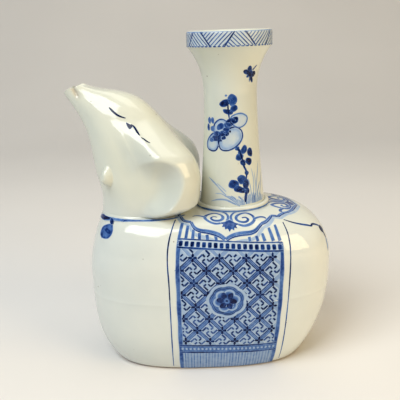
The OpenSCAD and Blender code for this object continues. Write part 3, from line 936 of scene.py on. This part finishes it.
def paint_fringe(b):
    b.ground = 0.3
    A, S = np.meshgrid(ACROSS, np.linspace(0, 1, 12))
    b.grid(A, cloth_foot(A) + (CLOTH_HEM - cloth_foot(A)) * S, 0.3, 0.05)
    count = 64
    for k in range(count):
        a = (k + 0.5 + rng.uniform(-0.25, 0.25)) / count
        thread = [(a, CLOTH_HEM - 0.6), (a, cloth_foot(a) + 0.1)]
        ink = 0.44 if k % 2 else 0.2
        b.stroke(thread, rng.uniform(0.45, 0.75), ink, taper=(1, 0.8), lift=0.08, soft=0.5)


def paint_medallion(b):
    """Flower of six petals in a lobed frame."""
    centre = np.array([0.47, 51.2])
    lean = 0.6

    def ring(r, lobes, depth):
        t = whole_turn(60)
        r = r * (1 - depth + depth * np.abs(np.sin(lobes * t / 2 + lean)) ** 0.8)
        return centre + np.stack([1.08 * r * np.sin(t) / CLOTH_WID, r * np.cos(t)], -1)
    # Rounds from the outside in: radius, lobes and their depth, strength inside, at the edge and around
    for r, lobes, depth, ink, edge, ground in (
        (11.3, 7, 0.07, 0.17, 0.17, 0.2), (9.9, 7, 0.06, 0.62, 0.54, 0.3),
        (7.5, 6, 0.2, 0.22, 0.24, 0.24), (6.6, 6, 0.22, 0.7, 0.56, 0.3),
    ):
        b.ground = ground
        b.fill(ring(r, lobes, depth), ink, edge, lift=0.26 - 0.01 * r, per=2,
               rings=(0.02, 0.2, 0.4, 0.6, 0.8, 0.92, 1.0))
    b.ground = 0.6
    for r in (9.2, 8.3):
        b.stroke(ring(r, 7, 0.08), 0.55, 0.86, closed=True, lift=0.18)
    b.ground = 0.8
    for k in range(6):
        q = np.pi / 3 * k + lean
        petal = centre + [3.9 * np.sin(q) / CLOTH_WID, 3.7 * np.cos(q)]
        b.dab(petal, (1.7, 2.1), -np.degrees(q), 0.88, 0.95, lift=0.25)
    b.dab(centre, (1.9, 1.9), 0, 0.5, 0.6, lift=0.26)
    b.ground = 0.5
    b.dab(centre, (0.8, 0.8), 0, 0.95, lift=0.28)


def paint_cloth(sign, name):
    b = Paint("paint_cloth_" + name, cloth_surface(sign), inside_body, (0.002, 0.1))
    A, V = np.meshgrid(ACROSS, np.linspace(CLOTH_LOW, 86, 46), indexing="ij")
    b.grid(A, V, 0.25 + 0.08 * fading(V), 0.03)
    paint_lattice(b)
    paint_borders(b)
    paint_fringe(b)
    paint_medallion(b)
    return b.finish()


# Other trappings

# Straps between the painted collar and the cloth, by x and the way up the side: top and foot of each
STRAPS = [
    ((-16.1, 100.8), (-18.7, 89.6)), ((-12.9, 98.7), (-14.6, 89.4)), ((-9.7, 95.9), (-10.5, 89.2)),
    ((-6.3, 93.6), (-6.4, 89)), ((-1.9, 92.4), (-1.7, 88.8)), ((3.0, 91.8), (3.5, 88.6)),
    ((22.8, 90), (23.1, 87.4)), ((27.0, 90.2), (27.9, 87.1)), ((30.6, 91.4), (32, 86.8)),
    ((34.7, 94.3), (37.1, 86.4)), ((38.6, 95.5), (41.1, 86)),
]
TASSEL = [
    (-59.0, 98), (-62.7, 96.4), (-65.6, 94), (-67.3, 90.5), (-67.6, 87.6), (-65.4, 86.6), (-62, 87.4),
    (-60, 89.3), (-58.6, 92), (-58.2, 95),
]
# Line of the bridle on one side in plan, from the chest round to the corner of the painted collar
BRIDLE = [
    (-69.2, 0), (-68, -9.2), (-64.2, -18.6), (-58.5, -24.2), (-52, -28), (-44.4, -30.2), (-35.5, -31.5),
    (-26, -31.4), (-20.2, -29.8), (-14.9, -24.9),
]
BRIDLE_END = [(-67.4, -11.6), (-64.3, -18.5), (-60.6, -22.4)]
# Lines of the crupper and the tail, by degrees round the body from its back and by height: points,
# width, strength and taper
CRUPPER = [
    ([(43, 93.8), (40.4, 92), (36, 90.3), (29.8, 88.5), (27, 87.6), (24, 88)], 1.9, 0.92, (0.6, 0.9)),
    ([(24, 88), (20.4, 87.3), (17.4, 86.1), (13.5, 83.8)], 2.0, 0.95, (0.8, 1)),
]
TAIL = [
    ([(15, 81.6), (16, 80), (16.4, 78)], 2.8, 1.0, (0.8, 0.7)),
    ([(16.4, 78), (18, 74.4), (19, 69.5)], 3.0, 0.42, (0.7, 0.1)),
]
# Lines of an eye by station and degrees round the head, each with its width, and the eye itself
EYE_LINES = [
    ([(4.43, 97.1), (4.18, 96.6), (3.98, 97.6), (3.85, 100.6), (3.76, 104.4)], 1.4),
    ([(3.52, 104.6), (3.44, 106), (3.28, 104.9), (3.16, 104.4)], 1.25),
    ([(3.1, 104.4), (3.04, 105.9), (2.97, 106.9), (2.92, 108.6)], 1.0),
]
EYE = [(3.62, 100.4), (3.56, 103), (3.47, 105.2), (3.41, 102), (3.39, 98.8), (3.5, 98.6)]


def paint_side(sign, name):
    """Lines beside the cloth, straps over it and the tassel under the cheek."""
    b = Paint("paint_trappings_" + name, side_surface(sign), inside_body, (0.1, 0.1))
    heights = np.linspace(3, 96, 16)
    left = [(cloth_left(v) - 4.5 - ease(v, 60, 85), v) for v in heights] + [(-20.3, 104)]
    right = [(cloth_right(v) + 4.3, v) for v in heights]
    for line in (left, right):
        b.stroke(line[:9], 0.85, 0.7, taper=(0.5, 1), lift=0.06)
        b.stroke(line[8:], 0.95, 0.95, taper=(1, 0.8), lift=0.06)
    for top, foot in STRAPS:
        b.stroke([foot, top], 2.3, 0.6, taper=(1.0, 0.85), lift=0.07)
    b.fill(TASSEL, 0.58, 0.74, lift=0.07)
    b.dab((-59.2, 99.6), (1.9, 2.5), 0, 0.95, 0.9, lift=0.45)
    b.ground = 0.58
    b.dab((-62, 92.2), (3.5, 1.7), -12, 0.86, 0.75, lift=0.09)
    b.dab((-66.2, 88.6), (1.2, 2.0), 0, 0.85, 0.75, lift=0.09)
    return b.finish()


def paint_bridle():
    """Line along the joint of the head, with its heavy end on the chest."""
    b = Paint("paint_bridle", shoulder_surface, inside_body)
    for mirror in (1, -1):
        line, end = np.array(BRIDLE) * [1, mirror], np.array(BRIDLE_END) * [1, mirror]
        b.ground = 0.0
        b.stroke(line[:5], 2.5, 0.56, lift=0.3)
        b.stroke(line[4:], 2.2, 0.58, taper=(1, 0.8), lift=0.15)
        b.ground = 0.5
        b.stroke(end, 2.5, 1.0, taper=(0.7, 0.3), lift=0.4)
        b.stroke(line[6:8], 1.7, 0.8, taper=(0.3, 0.3), lift=0.14)
    return b.finish()


def paint_crupper():
    b = Paint("paint_crupper", body_point, inside_body, (0.5, 0.05))
    for mirror in (-1, 1):
        for points, width, ink, taper in CRUPPER:
            b.stroke(np.array(points) * [mirror, 1], width, ink, taper=taper, lift=0.06)
        b.dab((15.5 * mirror, 83.2), (3.6, 2.6), 0, 1.0, lift=0.08)
        for points, width, ink, taper in TAIL:
            b.stroke(np.array(points) * [mirror, 1], width, ink, taper=taper, lift=0.07)
    return b.finish()


def paint_eyes(side, name):
    b = Paint("paint_eye_" + name, head_surface(side), inside_head, (0.01, 0.5))
    for line, width in EYE_LINES:
        b.stroke(line, width, 1.2, taper=(0.5, 0.5), soft=0.2)
    b.fill(EYE, 1.2, lift=0.1)
    return b.finish()


# Materials

class Shader:
    """Material of a few kinds of node, placed by the object's own coordinates."""

    def __init__(self, name):
        self.material = bpy.data.materials.new(name)
        self.material.use_nodes = True
        self.tree = self.material.node_tree
        self.bsdf = self.tree.nodes["Principled BSDF"]
        self.place = self.node("TexCoord", "Object")

    def feed(self, node, inputs):
        """Give each input its number or the output of another node; _ stands for a space."""
        for name, value in inputs.items():
            socket = node.inputs[name.replace("_", " ")]
            if isinstance(value, bpy.types.NodeSocket):
                self.tree.links.new(value, socket)
            else:
                socket.default_value = value

    def surface(self, **inputs):
        self.feed(self.bsdf, inputs)

    def node(self, kind, output, **inputs):
        made = self.tree.nodes.new("ShaderNode" + kind)
        self.feed(made, inputs)
        return made.outputs[output]

    def noise(self, scale, detail):
        return self.node("TexNoise", "Fac", Scale=scale, Detail=detail, Vector=self.place)

    def attribute(self, name):
        made = self.node("Attribute", "Fac")
        made.node.attribute_name = name
        return made

    def times(self, a, b):
        made = self.node("Math", 0)
        made.node.operation = "MULTIPLY"
        self.tree.links.new(a, made.node.inputs[0])
        self.tree.links.new(b, made.node.inputs[1])
        return made

    def spread(self, value, start, end, low=0.0, high=1.0):
        """Number that goes from low at start to high at end."""
        return self.node("MapRange", 0, Value=value, From_Min=start, From_Max=end,
                         To_Min=low, To_Max=high)

    def ramp(self, value, *stops):
        """Colours along a value; each stop is a place and a colour."""
        made = self.node("ValToRGB", "Color", Fac=value)
        elements = made.node.color_ramp.elements
        while len(elements) < len(stops):
            elements.new(0.5)
        for element, (place, colour) in zip(elements, stops):
            element.position = place
            element.color = (*colour, 1)
        return made

    def mix(self, share, a, b):
        return self.node("MixRGB", "Color", Fac=share, Color1=a, Color2=b)

    def bump(self, height, strength, distance):
        made = self.node("Bump", "Normal", Height=height, Strength=strength, Distance=distance)
        self.surface(Normal=made)


def cobalt_over(shader, colour):
    """Cobalt blue under the glaze, as strong as the strokes' own ink and pooled unevenly."""
    pooled = shader.spread(shader.noise(420, 3), 0.25, 0.75, 0.78, 1.2)
    tone = shader.times(shader.attribute("ink"), pooled)
    cobalt = shader.ramp(
        tone, (0.0, (0.58, 0.66, 0.70)), (0.22, (0.30, 0.42, 0.62)), (0.5, (0.08, 0.178, 0.445)),
        (0.75, (0.013, 0.05, 0.225)), (1.0, (0.001, 0.004, 0.038)))
    return shader.mix(shader.spread(tone, 0, 0.16), colour, cobalt)


def make_glaze(name, painted):
    """Glossy glaze, cool on the body and warmer and darker above it (partly the glaze's own ivory tone,
    partly painted shade on the head and neck), with iron specks and a bare foot.
    """
    shader = Shader(name)
    mottle, height = shader.noise(26, 3), shader.node("SeparateXYZ", "Z", Vector=shader.place)
    cool = shader.ramp(mottle, (0.32, (0.65, 0.69, 0.665)), (0.68, (0.715, 0.745, 0.705)))
    # Above the body the colour is warmer and darker: partly the glaze's own ivory tone, partly painted
    # shade on the head and neck
    warm_and_shaded = shader.ramp(mottle, (0.32, (0.605, 0.63, 0.567)), (0.68, (0.67, 0.69, 0.602)))
    colour = shader.mix(shader.spread(height, 0.085, 0.115), cool, warm_and_shaded)
    cells = shader.node("TexVoronoi", "Distance", Scale=100, Vector=shader.place)
    specks = shader.spread(cells, 0.03, 0.06, 1, 0)
    some = shader.spread(shader.noise(60, 0), 0.44, 0.50, 0, 0.75)
    iron = shader.ramp(mottle, (0.3, (0.10, 0.075, 0.05)), (0.7, (0.17, 0.13, 0.09)))
    colour = shader.mix(shader.times(specks, some), colour, iron)
    # Bare edge of the foot, and the brown mark between the lips
    clay = shader.ramp(mottle, (0.3, (0.30, 0.20, 0.12)), (0.7, (0.42, 0.31, 0.21)))
    bare = shader.spread(height, 0.0007, 0.0014, 1, 0)
    colour = shader.mix(bare, colour, clay)
    colour = shader.mix(shader.attribute("stain"), colour, clay)
    if painted:
        colour = cobalt_over(shader, colour)
        shader.surface(Specular_IOR_Level=0.2)
    gloss = shader.spread(mottle, 0.3, 0.7, 0.05, 0.10)
    shader.surface(Base_Color=colour, Roughness=gloss, IOR=1.5)
    shader.bump(shader.noise(55, 1), 0.12, 0.0008)
    return shader.material


def make_clay():
    shader = Shader("bare_clay")
    grain = shader.noise(900, 4)
    body = shader.ramp(grain, (0.3, (0.42, 0.36, 0.29)), (0.7, (0.58, 0.52, 0.44)))
    rust = shader.ramp(grain, (0.3, (0.36, 0.24, 0.15)), (0.7, (0.48, 0.35, 0.24)))
    where = shader.spread(shader.noise(40, 3), 0.5, 0.66, 0, 0.8)
    shader.surface(Base_Color=shader.mix(where, body, rust), Roughness=0.85)
    shader.bump(grain, 0.4, 0.0004)
    return shader.material


def make_floor():
    shader = Shader("pale_floor")
    pale = shader.ramp(shader.noise(3, 2), (0.3, (0.74, 0.72, 0.70)), (0.7, (0.78, 0.76, 0.74)))
    shader.surface(Base_Color=pale, Roughness=0.9, Specular_IOR_Level=0.1)
    return shader.material


# The part, put together

plain, painted = make_glaze("glazed_porcelain", False), make_glaze("painted_porcelain", True)

skins = build_body() + build_neck() + [build_head_slip()]
skins += build_head(-1.0, "left") + build_head(1.0, "right")
for o in skins:
    o.data.materials.append(plain)
    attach(o, "root")
    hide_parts(o.name[: -len("_skin")])

paintings = [paint_mouth(), paint_neck(), paint_collar(), paint_neck_ring()]
paintings += [paint_bridle(), paint_crupper()]
for sign, name in ((-1.0, "left"), (1.0, "right")):
    paintings += [paint_cloth(sign, name), paint_side(sign, name), paint_eyes(sign, name)]
for o in paintings:
    o.data.materials.append(painted)
    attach(o, "root")

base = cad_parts["base_slab"]
base.data.materials.clear()
base.data.materials.append(make_clay())


# Floor, light and camera

def backdrop():
    """Floor that curves up into a plain back wall, a hair below the foot."""
    front, bend, radius, top, half_width, below = -3000, 700, 600, 3000, 4000, 0.2
    turns = np.radians(np.linspace(0, 90, 16))
    line = [(front, 0)]
    line += [(bend + radius * np.sin(q), radius - radius * np.cos(q)) for q in turns]
    line += [(bend + radius, top)]
    verts = [(x, y, z - below) for y, z in line for x in (-half_width, half_width)]
    mesh = new_mesh("floor", verts, grid_faces(len(line), 2))
    mesh.shade_smooth()
    return link("floor", mesh)


floor = backdrop()
floor.data.materials.append(make_floor())


def area(name, place, look_at, size, power, colour):
    """Soft lamp; its places and size are in metres and its power in watts."""
    lamp = bpy.data.lights.new(name, "AREA")
    lamp.shape = "RECTANGLE"
    lamp.size, lamp.size_y = size
    lamp.energy = power
    lamp.color = colour
    made = link(name, lamp)
    made.location = place
    away = (Vector(place) - Vector(look_at)).normalized()
    made.rotation_euler = away.to_track_quat("Z", "Y").to_euler()


area("key", (-0.62, -0.68, 1.26), (0, 0, 0.09), (0.9, 0.9), 18.6, (0.94, 0.99, 1.0))
area("fill", (0.95, -0.65, 0.5), (0, 0, 0.09), (0.7, 0.7), 9.0, (1.0, 0.77, 0.44))
area("top", (0.15, 0.15, 1.2), (0, 0, 0.1), (0.9, 0.6), 3.8, (1.0, 0.96, 0.86))

scene.world = scene.world or bpy.data.worlds.new("studio")
scene.world.use_nodes = True
sky = scene.world.node_tree.nodes["Background"]
sky.inputs["Color"].default_value = (0.80, 0.80, 0.80, 1)
sky.inputs["Strength"].default_value = 0.15

# Camera at the photograph's place: it looks along +Y, a little down and a little rolled
lens = bpy.data.cameras.new("camera")
lens.sensor_width = 36
lens.lens = 54.7
lens.clip_start = 0.02
camera = link("camera", lens)
pitch, roll = np.radians(16), np.radians(2)
camera.matrix_world = (Matrix.Translation((-0.0053, -0.378, 0.208))
                       @ Matrix.Rotation(np.pi / 2 - pitch, 4, "X") @ Matrix.Rotation(-roll, 4, "Z"))
scene.camera = camera
scene.view_settings.view_transform = "Standard"
